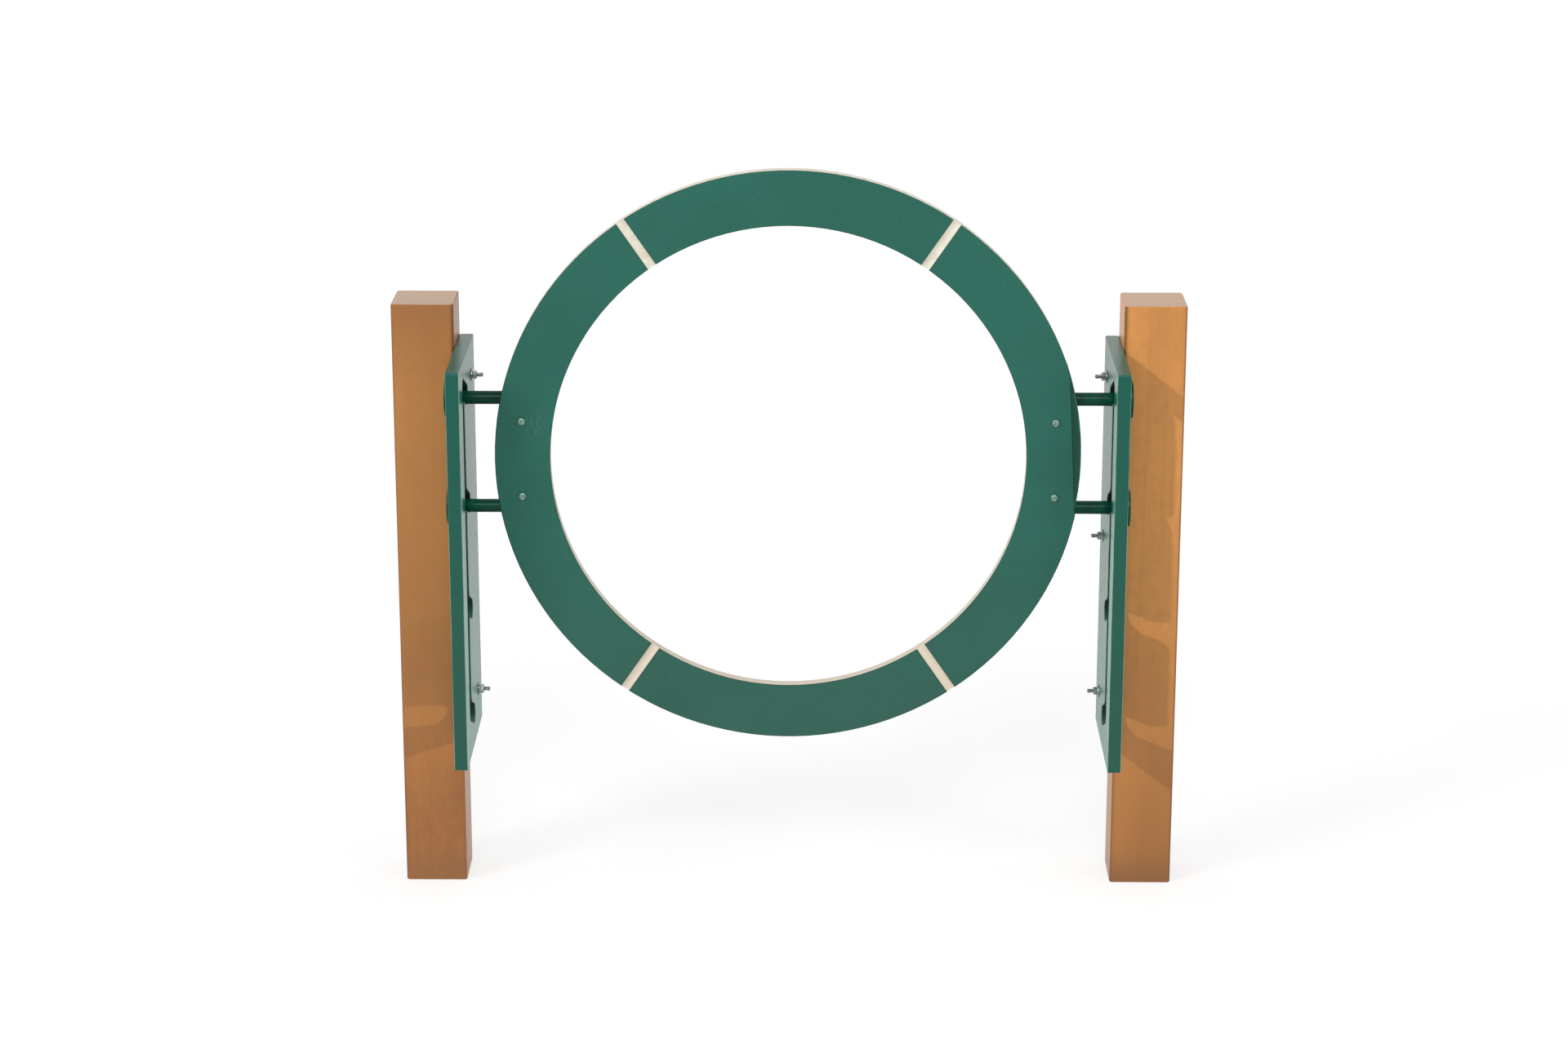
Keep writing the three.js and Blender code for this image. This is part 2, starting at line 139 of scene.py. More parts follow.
def reachFrom(tree, where, spot, sizes):
    # how far a place is from the spot, where 1 is the edge of an egg of these half sizes
    away = addNode(tree, "ShaderNodeVectorMath", {0: where, 1: spot}, operation="SUBTRACT").outputs[0]
    inSizes = scaled(tree, away, tuple(1 / size for size in sizes))
    return addNode(tree, "ShaderNodeVectorMath", {0: inSizes}, operation="LENGTH").outputs["Value"]


def noise(tree, where, scale, detail=2.0, rough=0.5):
    # the scale is one number, or one for each axis
    if isinstance(scale, tuple):
        where, scale = scaled(tree, where, scale), 1.0
    values = {"Vector": where, "Scale": scale, "Detail": detail, "Roughness": rough}
    return addNode(tree, "ShaderNodeTexNoise", values).outputs[0]


def through(tree, value, stops):
    # a share that runs through the given (place, share) stops, both from 0 to 1
    ramp = addNode(tree, "ShaderNodeValToRGB", {0: value})
    elements = ramp.color_ramp.elements
    for place, share in stops[1:-1]:
        elements.new(place)
    for element, (place, share) in zip(elements, stops):
        element.position = place
        element.color = (share, share, share, 1)
    return ramp.outputs[0]


def tinted(tree, share, first, second, most=1.0):
    # the second colour over the first by the share, which is full at the most that is given
    if most < 1.0:
        share = times(tree, share, most)
    values = {0: share, 6: first, 7: second}  # the Mix node's factor and its two colours
    return addNode(tree, "ShaderNodeMix", values, data_type="RGBA").outputs[2]


def marks(tree, where, layer):
    # a noise's high places, which fade in between the layer's two levels
    return ramped(tree, noise(tree, where, *layer["noise"]), *layer["levels"])


def marked(tree, where, colour, layer):
    return tinted(tree, marks(tree, where, layer), colour, layer["tone"], layer["share"])


def shaderOf(name):
    material = bpy.data.materials.new(name)
    material.use_nodes = True
    tree = material.node_tree
    where = addNode(tree, "ShaderNodeTexCoord").outputs["Object"]
    return material, tree, tree.nodes["Principled BSDF"], where


def facingOf(tree):
    return partsOf(tree, addNode(tree, "ShaderNodeTexCoord").outputs["Normal"])


def uprightEdge(tree, facing):
    # 0 on the flat sides, and a half in the middle of an upright rounded edge
    return unsigned(tree, times(tree, facing["X"], facing["Y"]))


levelFace = (0.6, 0.95)  # a normal's z where a face starts to count as level, and where it fully does
noiseLevels = (0.3, 0.7)  # a noise seldom goes past these


def glossed(tree, shader, grain, roughness, levels=noiseLevels):
    feed(tree, shader.inputs["Roughness"], ramped(tree, grain, *levels, *roughness))


def bumped(tree, shader, height, distance):
    bump = addNode(tree, "ShaderNodeBump", {"Height": height, "Distance": distance})
    feed(tree, shader.inputs["Normal"], bump.outputs[0])


def linear(red, green, blue):
    # a colour as it is seen, from 0 to 255, in the linear light that shaders take
    seen = Color((red / 255, green / 255, blue / 255))
    return (*seen.from_srgb_to_scene_linear(), 1.0)


# Finishes

# A noise is given by its scale, then its detail and roughness where they aren't the usual ones. A layer
# is a noise, the levels between which its marks fade in, and the share and the tone that they take.

lumberLook = {
    # the posts' tone runs from a painted shaded tone to a painted lit tone, which stand in for how the
    # light fell
    "paintedLight": linear(216, 146, 72),
    "paintedShade": linear(125, 77, 35),
    # painted light and shade: how lit each post is painted, by height, both from 0 to 1
    "rightPaintedLight": ((0, 0.15), (0.23, 0.47), (0.46, 0.77), (0.69, 1), (0.86, 0.96), (1, 0.82)),
    "leftPaintedLight": (
        (0, 0.05), (0.15, 0.06), (0.25, 0.19), (0.44, 0.33), (0.63, 0.51), (0.85, 0.58), (1, 0.27)
    ),
    "lightBesidePlate": 0.12,  # painted light: how much lighter the right post is painted beside its plate, against the plate's shade
    "besideReach": (57 * mm, 7 * mm),  # from the post's inner side: where that starts, and is full
    "clouds": ((14, 14, 5), 4.0),
    "cloudShare": 0.29,  # how much the clouds raise or lower the painted-light share, as random tone
    "streaks": {
        "noise": ((70, 70, 1.6), 4.0, 0.6),
        "levels": (0.46, 0.66),
        "share": 0.2,
        "tone": linear(168, 107, 49),
    },
    "mottles": {
        "noise": ((90, 90, 60), 4.0, 0.65),
        "levels": (0.42, 0.62),
        "share": 0.16,
        "tone": linear(168, 107, 49),
    },
    "flecks": {
        "noise": (380.0, 1.0),
        "levels": (0.68, 0.76),
        "share": 0.16,
        "tone": linear(184, 152, 124),
    },
    "foot": linear(128, 84, 46),
    "footHeight": 80 * mm,
    "footRagged": 30 * mm,
    "footFade": 2.0,
    "footShare": 0.75,
    # painted shade on the rounded upright corners and in a band beside the inner corner
    "corner": linear(122, 76, 36),
    "cornerLevels": (0.1, 0.42),
    "cornerShare": 0.55,
    # painted shade: the front is darker in a band beside its inner corner, whose ends lie this far from
    # the corner
    "bandStart": 0.1 * mm,
    "bandFull": 1 * mm,
    "bandWidth": 8 * mm,
    "bandShares": (0.2, 0.9),  # at the foot and at the top
    "frontLevels": (-0.4, -0.6),  # a normal's y where a face starts to count as the front, and fully does
    "cutEnd": linear(184, 152, 124),
    "cutShare": 0.9,
    "saw": {"Scale": 120.0, "Distortion": 3.0, "Detail": 2.0, "Detail Scale": 4.0},
    "sawShare": 0.14,
    "threads": ((420, 420, 12), 3.0, 0.55),
    "roughness": (0.3, 0.42),
    # the heights of the streaks and the saw marks, where the threads' height is 1, and that height
    "streakHeight": 0.5,
    "sawHeight": 1.2,
    "bump": 0.1 * mm,
}


def lumberFinish():
    material, tree, shader, where = shaderOf("lumber finish")
    at, facing = partsOf(tree, where), facingOf(tree)
    clouds = noise(tree, where, *lumberLook["clouds"])
    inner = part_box("right_post")[0].x
    up = maths(tree, "DIVIDE", at["Z"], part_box("left_post")[1].z)

    # painted light and shade: each post's tone follows the light that fell on it, by height and side
    onRight = maths(tree, "GREATER_THAN", at["X"], 0.0)
    left = through(tree, up, lumberLook["leftPaintedLight"])
    gap = maths(tree, "SUBTRACT", through(tree, up, lumberLook["rightPaintedLight"]), left)
    paintedLight = timesPlus(tree, onRight, gap, left)
    besideFrom, besideFull = (inner + reach for reach in lumberLook["besideReach"])
    # painted light beside the right plate, where its shade falls
    litBesidePlate = times(tree, ramped(tree, at["X"], besideFrom, besideFull), onRight)
    paintedLight = timesPlus(tree, litBesidePlate, lumberLook["lightBesidePlate"], paintedLight)
    paintedLight = timesPlus(tree, maths(tree, "SUBTRACT", clouds, 0.5), lumberLook["cloudShare"], paintedLight)
    colour = tinted(tree, paintedLight, lumberLook["paintedShade"], lumberLook["paintedLight"])
    colour = marked(tree, where, colour, lumberLook["streaks"])
    colour = marked(tree, where, colour, lumberLook["mottles"])
    ragged = lumberLook["footRagged"]
    footEnd = timesPlus(tree, clouds, ragged, lumberLook["footHeight"] - ragged / 2)
    atFoot = maths(tree, "POWER", ramped(tree, at["Z"], footEnd, 0.0), lumberLook["footFade"])
    colour = tinted(tree, atFoot, colour, lumberLook["foot"], lumberLook["footShare"])
    colour = marked(tree, where, colour, lumberLook["flecks"])

    # painted shade on the rounded upright corners
    corner = ramped(tree, uprightEdge(tree, facing), *lumberLook["cornerLevels"])
    colour = tinted(tree, corner, colour, lumberLook["corner"], lumberLook["cornerShare"])
    # painted shade in a band on the front beside the inner corner
    out = unsigned(tree, at["X"])
    start, full, end = (inner + lumberLook[key] for key in ("bandStart", "bandFull", "bandWidth"))
    band = times(tree, ramped(tree, out, end, full), ramped(tree, out, inner, start))
    band = times(tree, band, ramped(tree, facing["Y"], *lumberLook["frontLevels"]))
    band = times(tree, band, ramped(tree, up, 0.0, 1.0, *lumberLook["bandShares"]))
    colour = tinted(tree, band, colour, lumberLook["corner"])

    cutEnd = ramped(tree, unsigned(tree, facing["Z"]), *levelFace)
    wave = {"Vector": where, **lumberLook["saw"]}
    sawMarks = addNode(tree, "ShaderNodeTexWave", wave, bands_direction="DIAGONAL").outputs["Fac"]
    sawn = tinted(tree, sawMarks, lumberLook["cutEnd"], colour, lumberLook["sawShare"])
    colour = tinted(tree, cutEnd, colour, sawn, lumberLook["cutShare"])
    feed(tree, shader.inputs["Base Color"], colour)

    threads = noise(tree, where, *lumberLook["threads"])
    streaks = noise(tree, where, *lumberLook["streaks"]["noise"])
    glossed(tree, shader, threads, lumberLook["roughness"])
    height = timesPlus(tree, streaks, lumberLook["streakHeight"], threads)
    height = timesPlus(tree, times(tree, sawMarks, cutEnd), lumberLook["sawHeight"], height)
    bumped(tree, shader, height, lumberLook["bump"])
    return material


sheetLook = {
    "deep": linear(26, 97, 80),
    "clouds": {
        "noise": (9.0, 3.0),
        "levels": (0.35, 0.65),
        "share": 1.0,
        "tone": linear(32, 106, 88),
    },
    "low": linear(36, 124, 98),
    "lowShare": 0.8,
    "specks": {
        "noise": (260.0, 1.0),
        "levels": (0.68, 0.76),
        "share": 0.12,
        "tone": linear(96, 140, 128),
    },
    "edge": linear(4, 86, 72),
    "edgeLow": linear(32, 79, 67),  # darker and greyer towards the ground
    "edgeLevels": (0.8, 0.4),  # a normal's x on the faces, and on the cut edges
    "edgeShare": 0.9,
    # painted shade: the slot's walls are painted dark where they lie in shade
    "slotShade": linear(7, 36, 30),
    "slotShare": 0.8,
    "slotDull": 0.3,  # how much rougher the shaded slot walls are
    "outlineDepth": 12 * mm,  # walls deeper inside the plate's outline than this are the slot's
    "outlineFade": 2 * mm,
    "plateMargin": 1.5 * mm,  # how far before the plates' inner faces they are taken to start
    "ledgeLevels": (0.85, 0.35),  # a normal's z on the slot's ledges, which stay unshaded, and on its walls, which get the painted shade
    # a painted highlight: pale along the rounded upright edges, broken up by a noise
    "paintedHighlight": linear(146, 196, 180),
    "highlightLevels": (0.2, 0.42),
    "highlightShare": 0.55,
    "highlightBreakup": {"noise": ((60, 60, 25), 3.0), "levels": (0.3, 0.6)},
    # painted highlight: the faces are paler behind the rounded front edge
    "frontEase": 1 * mm,
    "frontSheenDepth": 34 * mm,
    "frontSheenShare": 0.42,
    "topGrey": linear(128, 140, 136),  # paler grey on the plates' upper edges, more towards the back
    "topShare": 0.4,
    "specular": 0.28,
    "roughness": (0.24, 0.36),
    "grain": (700.0, 2.0, 0.6),
    "toolMarks": ((18, 700, 30), 2.0),
    "toolHeight": 0.7,
    "bump": 0.06 * mm,
}


def sheetFinish():
    material, tree, shader, where = shaderOf("green sheet finish")
    at, facing = partsOf(tree, where), facingOf(tree)
    low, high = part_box("left_side_plate")
    cutEdge = ramped(tree, unsigned(tree, facing["X"]), *sheetLook["edgeLevels"])
    lowDown = ramped(tree, at["Z"], high.z, low.z)

    colour = marked(tree, where, sheetLook["deep"], sheetLook["clouds"])
    colour = tinted(tree, lowDown, colour, sheetLook["low"], sheetLook["lowShare"])
    colour = marked(tree, where, colour, sheetLook["specks"])
    edge = tinted(tree, lowDown, sheetLook["edge"], sheetLook["edgeLow"])
    colour = tinted(tree, cutEdge, colour, edge, sheetLook["edgeShare"])

    plateFrom = -high.x - sheetLook["plateMargin"]  # the blocks lie nearer to the middle
    onPlate = maths(tree, "GREATER_THAN", unsigned(tree, at["X"]), plateFrom)
    # the slot's walls, which get painted shade
    inSlot = times(tree, cutEdge, onPlate)
    depth, fade = sheetLook["outlineDepth"], sheetLook["outlineFade"]
    for part, start, end in ((at["Y"], low.y, high.y), (at["Z"], low.z, high.z)):
        inSlot = times(tree, inSlot, ramped(tree, part, start + depth, start + depth + fade))
        inSlot = times(tree, inSlot, ramped(tree, part, end - depth, end - depth - fade))
    inSlot = times(tree, inSlot, ramped(tree, facing["Z"], *sheetLook["ledgeLevels"]))
    colour = tinted(tree, inSlot, colour, sheetLook["slotShade"], sheetLook["slotShare"])

    # painted highlight along the rounded upright edges
    paintedHighlight = ramped(tree, uprightEdge(tree, facing), *sheetLook["highlightLevels"])
    paintedHighlight = times(tree, paintedHighlight, marks(tree, where, sheetLook["highlightBreakup"]))
    colour = tinted(tree, paintedHighlight, colour, sheetLook["paintedHighlight"], sheetLook["highlightShare"])
    # painted highlight on the faces behind the front edge
    front = low.y + sheetLook["frontEase"]
    frontSheen = ramped(tree, at["Y"], front + sheetLook["frontSheenDepth"], front)
    frontSheen = times(tree, frontSheen, restOf(tree, cutEdge))
    colour = tinted(tree, frontSheen, colour, sheetLook["paintedHighlight"], sheetLook["frontSheenShare"])
    onTop = times(tree, ramped(tree, facing["Z"], *levelFace), ramped(tree, at["Y"], low.y, high.y))
    onTop = times(tree, onTop, onPlate)
    colour = tinted(tree, onTop, colour, sheetLook["topGrey"], sheetLook["topShare"])
    feed(tree, shader.inputs["Base Color"], colour)

    grain = noise(tree, where, *sheetLook["grain"])
    gloss = ramped(tree, grain, *noiseLevels, *sheetLook["roughness"])
    feed(tree, shader.inputs["Roughness"], timesPlus(tree, inSlot, sheetLook["slotDull"], gloss))
    shader.inputs["Specular IOR Level"].default_value = sheetLook["specular"]
    toolMarks = times(tree, noise(tree, where, *sheetLook["toolMarks"]), cutEdge)
    height = timesPlus(tree, toolMarks, sheetLook["toolHeight"], grain)
    bumped(tree, shader, height, sheetLook["bump"])
    return material


ringLook = {
    "capDeep": linear(35, 97, 83),
    "clouds": {
        "noise": (7.0, 3.0),
        "levels": (0.35, 0.65),
        "share": 1.0,
        "tone": linear(36, 102, 88),
    },
    "capLow": linear(57, 80, 70),  # the caps, darker and greyer towards the ground
    "capLowShare": 0.4,
    "specks": {
        "noise": (230.0, 1.0),
        "levels": (0.67, 0.75),
        "share": 0.14,
        "tone": linear(96, 142, 130),
    },
    "capThickness": 1.27 * mm,
    "capFade": 0.1 * mm,
    "capEdge": linear(24, 62, 50),
    "capEdgeFrom": (0.08 * mm, 0.35 * mm),  # below the face: where the cap's cut edge starts, and is full
    "capEdgeShare": 0.7,
    # one scuffed place on the left
    "scuffPlace": (-0.352, 0.0, 0.708),
    "scuffSize": (0.030, 0.060, 0.050),
    "scuffLevels": (1.0, 0.2),
    "scuffShare": 0.75,
    "scratches": {"noise": ((240, 20, 60), 4.0, 0.7), "levels": (0.46, 0.66)},
    "core": linear(231, 227, 211),
    "dust": {
        "noise": (60.0, 3.0),
        "levels": (0.35, 0.7),
        "share": 1.0,
        "tone": linear(220, 212, 194),
    },
    "coreLow": linear(220, 206, 188),  # darker towards the ground
    "specular": 0.25,
    "roughness": (0.42, 0.6),
    "grain": (900.0, 2.0, 0.6),
    "chatter": ((420, 12, 420), 2.0),  # the cutter's marks across the core
    "chatterHeight": 0.8,
    "bump": 0.12 * mm,
}


def ringFinish():
    material, tree, shader, where = shaderOf("ring sheet finish")
    at = partsOf(tree, where)
    low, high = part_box("ring")
    middle, half = (low + high) / 2, (high - low) / 2
    lowDown = ramped(tree, at["Z"], middle.z, low.z)
    fromMiddle = unsigned(tree, maths(tree, "SUBTRACT", at["Y"], middle.y))
    capLine, fade = half.y - ringLook["capThickness"], ringLook["capFade"]
    cap = ramped(tree, fromMiddle, capLine - fade, capLine + fade)
    start, full = (half.y - below for below in ringLook["capEdgeFrom"])
    capEdge = ramped(tree, fromMiddle, start, full)

    green = marked(tree, where, ringLook["capDeep"], ringLook["clouds"])
    green = tinted(tree, lowDown, green, ringLook["capLow"], ringLook["capLowShare"])
    green = marked(tree, where, green, ringLook["specks"])
    away = reachFrom(tree, where, ringLook["scuffPlace"], ringLook["scuffSize"])
    scuff = ramped(tree, away, *ringLook["scuffLevels"])
    scuff = times(tree, scuff, marks(tree, where, ringLook["scratches"]))
    green = tinted(tree, scuff, green, ringLook["specks"]["tone"], ringLook["scuffShare"])
    green = tinted(tree, capEdge, green, ringLook["capEdge"], ringLook["capEdgeShare"])
    cream = marked(tree, where, ringLook["core"], ringLook["dust"])
    cream = tinted(tree, lowDown, cream, ringLook["coreLow"])
    feed(tree, shader.inputs["Base Color"], tinted(tree, cap, cream, green))

    grain = noise(tree, where, *ringLook["grain"])
    glossed(tree, shader, grain, ringLook["roughness"])
    shader.inputs["Specular IOR Level"].default_value = ringLook["specular"]
    chatter = times(tree, noise(tree, where, *ringLook["chatter"]), restOf(tree, cap))
    height = timesPlus(tree, chatter, ringLook["chatterHeight"], grain)
    bumped(tree, shader, height, ringLook["bump"])
    return material


coatingLook = {
    "deep": linear(2, 57, 42),
    "clouds": {
        "noise": (40.0, 2.0),
        "levels": (0.35, 0.65),
        "share": 1.0,
        "tone": linear(3, 76, 56),
    },
    "peel": (500.0, 2.0),
    "specular": 0.12,
    "roughness": (0.14, 0.24),
    "bump": 0.05 * mm,
}


def coatingFinish():
    material, tree, shader, where = shaderOf("green coating finish")
    colour = marked(tree, where, coatingLook["deep"], coatingLook["clouds"])
    feed(tree, shader.inputs["Base Color"], colour)
    peel = noise(tree, where, *coatingLook["peel"])
    glossed(tree, shader, peel, coatingLook["roughness"])
    shader.inputs["Specular IOR Level"].default_value = coatingLook["specular"]
    bumped(tree, shader, peel, coatingLook["bump"])
    return material


zincLook = {
    "new": {
        "bright": linear(192, 198, 198),
        "dull": linear(128, 136, 136),
        "roughness": (0.2, 0.38),
    },
    # a greenish grey zinc, for the ring bolts
    "greenish": {
        "bright": linear(140, 172, 158),
        "dull": linear(100, 130, 118),
        "roughness": (0.36, 0.52),
    },
    "clouds": (300.0, 3.0),
    "spangleScale": 900.0,
    "spangleLevels": (0.1, 0.7),
    "bump": 0.03 * mm,
}


def zincFinish(name, zincKind):
    material, tree, shader, where = shaderOf(name)
    look = zincLook[zincKind]
    clouds = noise(tree, where, *zincLook["clouds"])
    colour = tinted(tree, ramped(tree, clouds, *noiseLevels), look["dull"], look["bright"])
    feed(tree, shader.inputs["Base Color"], colour)
    shader.inputs["Metallic"].default_value = 1.0
    values = {"Vector": where, "Scale": zincLook["spangleScale"]}
    spangle = addNode(tree, "ShaderNodeTexVoronoi", values).outputs[0]
    glossed(tree, shader, spangle, look["roughness"], zincLook["spangleLevels"])
    bumped(tree, shader, clouds, zincLook["bump"])
    return material


finishes = {
    "lumber": lumberFinish(),
    "green_sheet": sheetFinish(),
    "ring_sheet": ringFinish(),
    "coated_steel": coatingFinish(),
    "zinc": zincFinish("zinc finish", "new"),
}
greenishZinc = zincFinish("dull zinc finish", "greenish")
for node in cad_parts.values():
    for slot in node.material_slots:
        slot.material = finishes[slot.material.name]  # the model's slots have the finishes' names
print("finishes made:", ", ".join(finishes))


# Smooth shading for the parts that keep their solids

edgeCare = {"mergeWithin": 1e-6, "sharpFrom": 50.0}  # metres and degrees


def edgeSmoother():
    tree = bpy.data.node_groups.new("edge smoother", "GeometryNodeTree")
    for way in ("INPUT", "OUTPUT"):
        tree.interface.new_socket("Geometry", in_out=way, socket_type="NodeSocketGeometry")
    start = addNode(tree, "NodeGroupInput")
    bare = addNode(
        tree,
        "GeometryNodeRemoveAttribute",
        {"Geometry": start.outputs[0], "Name": "custom_normal"},
    )
    merged = addNode(
        tree,
        "GeometryNodeMergeByDistance",
        {"Geometry": bare.outputs[0], "Distance": edgeCare["mergeWithin"]},
    )
    faces = addNode(
        tree,
        "GeometryNodeSetShadeSmooth",
        {"Geometry": merged.outputs[0], "Shade Smooth": True},
        domain="FACE",
    )
    angle = addNode(tree, "GeometryNodeInputMeshEdgeAngle")
    gentle = addNode(
        tree,
        "FunctionNodeCompare",
        {"A": angle.outputs[0], "B": math.radians(edgeCare["sharpFrom"])},
        operation="LESS_THAN",
    )
    edges = addNode(
        tree,
        "GeometryNodeSetShadeSmooth",
        {"Geometry": faces.outputs[0], "Shade Smooth": gentle.outputs[0]},
        domain="EDGE",
    )
    addNode(tree, "NodeGroupOutput", {0: edges.outputs[0]})
    return tree


def weightFaces(thing):
    # broad faces stay flat, and only the narrow ones beside them are shaded round
    weighting = thing.modifiers.new("face weighting", "WEIGHTED_NORMAL")
    weighting.keep_sharp = True


smoother = edgeSmoother()
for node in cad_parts.values():
    shading = node.modifiers.new("edge smoother", "NODES")
    shading.node_group = smoother
    weightFaces(node)
print("edges smoothed")


# Turned and hexagonal pieces, made of rows of rings along an axis

def ringsOf(rows, steps, spot, along, turn=0.0):
    # a row is a radius and a height, each of them one number or a function of the angle
    up = Vector((0, 0, 1))
    side = up.cross(along)
    rings = []
    for radius, height in rows:
        ring = []
        for step in range(steps):
            angle = fullTurn * step / steps
            reach = radius(angle) if callable(radius) else radius
            rise = height(angle) if callable(height) else height
            out = up * math.cos(angle + turn) + side * math.sin(angle + turn)
            ring.append(spot + along * rise + out * reach)
        rings.append(ring)
    return rings


def shell(name, rings, hollow=False):
    # a hollow piece's last ring joins its first one, and any other piece is closed flat at both ends
    made = bmesh.new()
    corners = [[made.verts.new(point) for point in ring] for ring in rings]
    pairs = list(zip(corners, corners[1:]))
    if hollow:
        pairs.append((corners[-1], corners[0]))
    else:
        made.faces.new(list(reversed(corners[0])))
        made.faces.new(corners[-1])
    for near, far in pairs:
        for index in range(len(near)):
            after = (index + 1) % len(near)
            made.faces.new((near[index], near[after], far[after], far[index]))
    bmesh.ops.recalc_face_normals(made, faces=made.faces)
    mesh = bpy.data.meshes.new(name)
    made.to_mesh(mesh)
    made.free()
    piece = bpy.data.objects.new(name, mesh)
    bpy.context.scene.collection.objects.link(piece)
    return piece


pieceCare = {"sharpFrom": 34.0}  # degrees


def finished(piece, body, slot, node=None, finish=None):
    mesh = piece.data
    mesh.materials.append(finish or finishes[slot])
    mesh.shade_smooth()
    mesh.set_sharp_from_angle(angle=math.radians(pieceCare["sharpFrom"]))
    weightFaces(piece)
    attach(piece, body)
    if node:
        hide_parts(node)


# Each maker works along an axis, and starts at the side where the axis comes into the node's box

def middleOf(node):
    low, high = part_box(node)
    return (low + high) / 2


def lengthOf(node, along):
    low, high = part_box(node)
    return abs((high - low).dot(along))


def startOf(node, along):
    return middleOf(node) - along * (lengthOf(node, along) / 2)


threadLook = {
    "pitch": 1.27 * mm,
    "depth": 0.62 * mm,
    "rowsPerTurn": 6,
    "steepness": 2.6,  # how far the thread's slope falls over one pitch, in depths
    "crest": 0.25,  # how much of that is cut off flat at the crest
}
hexFastener = {
    "halfFlat": 5.55 * mm,
    "headHeight": 4.1 * mm,
    "nutHeight": 5.6 * mm,
    "shankRadius": 3.175 * mm,
    "boreRadius": 3.475 * mm,
    "boreEase": 0.5 * mm,
    "endChamfer": 0.8 * mm,
    "threadLength": 21 * mm,
    "chamferAngle": 30,  # degrees
    "chamferStart": 0.05 * mm,
    "nutFaceShare": 0.97,  # each face's flat round, as a share of the half flat
    "padThickness": 0.15 * mm,  # the raised round under a bolt's head
    "padShares": (0.96, 0.98),
    "topShare": 0.95,
    "topDrop": 0.01 * mm,
    "centreShare": 0.3,
    "nutSteps": 60,
    "boltSteps": 36,
    "turns": (12, 49, 31, 22, 57),  # degrees, one for each plate bolt
    "ringNutTurn": 21,
}


def hexRadius(flat, angle):
    sixth = fullTurn / 6
    return flat / math.cos((angle % sixth) - sixth / 2)


def hexRow(flat, level, chamfered=0):
    # a hexagon at one level, or with its corners chamfered: upwards from it by 1, downwards by -1
    slope = math.tan(math.radians(hexFastener["chamferAngle"]))

    def rise(angle):
        drop = (hexRadius(flat, angle) - flat) * slope
        return level + chamfered * (drop + hexFastener["chamferStart"])
    return (lambda angle: hexRadius(flat, angle), rise)


def threadRows(radius, low, high):
    # a screw thread as one radius for each height and angle, fading in over its first turn
    pitch, perTurn = threadLook["pitch"], threadLook["rowsPerTurn"]
    count = round((high - low) / pitch * perTurn)

    def row(index):
        height = low + (high - low) * index / count
        depth = threadLook["depth"] * min(1.0, index / perTurn)

        def reach(angle):
            phase = (height / pitch - angle / fullTurn) % 1.0
            slope = abs(phase - 0.5) * threadLook["steepness"] - threadLook["crest"]
            return radius - depth * max(0.0, min(1.0, slope))
        return (reach, height)
    return [row(index) for index in range(1, count + 1)]


def shankRows(radius, length, threaded, chamfer):
    # from the shank's chamfered end to where its thread, if it has one, fades out
    rows = [(radius - chamfer, -length)]
    if not threaded:
        return rows + [(radius, chamfer - length)]
    thread = threadRows(radius, length - threaded, length - chamfer)
    rows += [(reach, -height) for reach, height in reversed(thread)]
    return rows + [(radius, threaded - length)]


def hexNut(name, node, along, turn):
    flat, height = hexFastener["halfFlat"], hexFastener["nutHeight"]
    bore, ease = hexFastener["boreRadius"], hexFastener["boreEase"]
    face = flat * hexFastener["nutFaceShare"]
    rows = [
        (bore, ease),
        (bore + ease, 0),
        (face, 0),
        hexRow(flat, 0, chamfered=1),
        hexRow(flat, height, chamfered=-1),
        (face, height),
        (bore + ease, height),
        (bore, height - ease),
    ]
    rings = ringsOf(rows, hexFastener["nutSteps"], startOf(node, along), along, turn)
    return shell(name, rings, hollow=True)


def hexBolt(name, node, along, turn):
    # the head is at the far end, and heights count from its lower side
    flat, height = hexFastener["halfFlat"], hexFastener["headHeight"]
    length = lengthOf(node, along) - height
    radius, pad = hexFastener["shankRadius"], hexFastener["padThickness"]
    low, high = (flat * share for share in hexFastener["padShares"])
    rows = shankRows(radius, length, hexFastener["threadLength"], hexFastener["endChamfer"])
    rows += [
        (radius, 0),
        (low, 0),
        (high, pad),
        hexRow(flat, pad),
        hexRow(flat, height, chamfered=-1),
        (flat * hexFastener["topShare"], height - hexFastener["topDrop"]),
        (flat * hexFastener["centreShare"], height),
    ]
    spot = startOf(node, along) + along * length
    return shell(name, ringsOf(rows, hexFastener["boltSteps"], spot, along, turn))


washerLook = {
    "outer": 9.3 * mm,
    "inner": 3.475 * mm,
    "thickness": 1.6 * mm,
    "ease": 0.25 * mm,
    "round": 0.5 * mm,  # the rounded edge of the punched side
    "roundShare": 0.3,
    "steps": 48,
}


def washer(name, node, along):
    outer, inner, thick = (washerLook[key] for key in ("outer", "inner", "thickness"))
    ease, rounded = washerLook["ease"], washerLook["round"]
    cut = rounded * washerLook["roundShare"]
    rows = [
        (inner, ease),
        (inner + ease, 0),
        (outer - ease, 0),
        (outer, ease),
        (outer, thick - rounded),
        (outer - cut, thick - cut),
        (outer - rounded, thick),
        (inner + ease, thick),
        (inner, thick - ease),
    ]
    rings = ringsOf(rows, washerLook["steps"], startOf(node, along), along)
    return shell(name, rings, hollow=True)


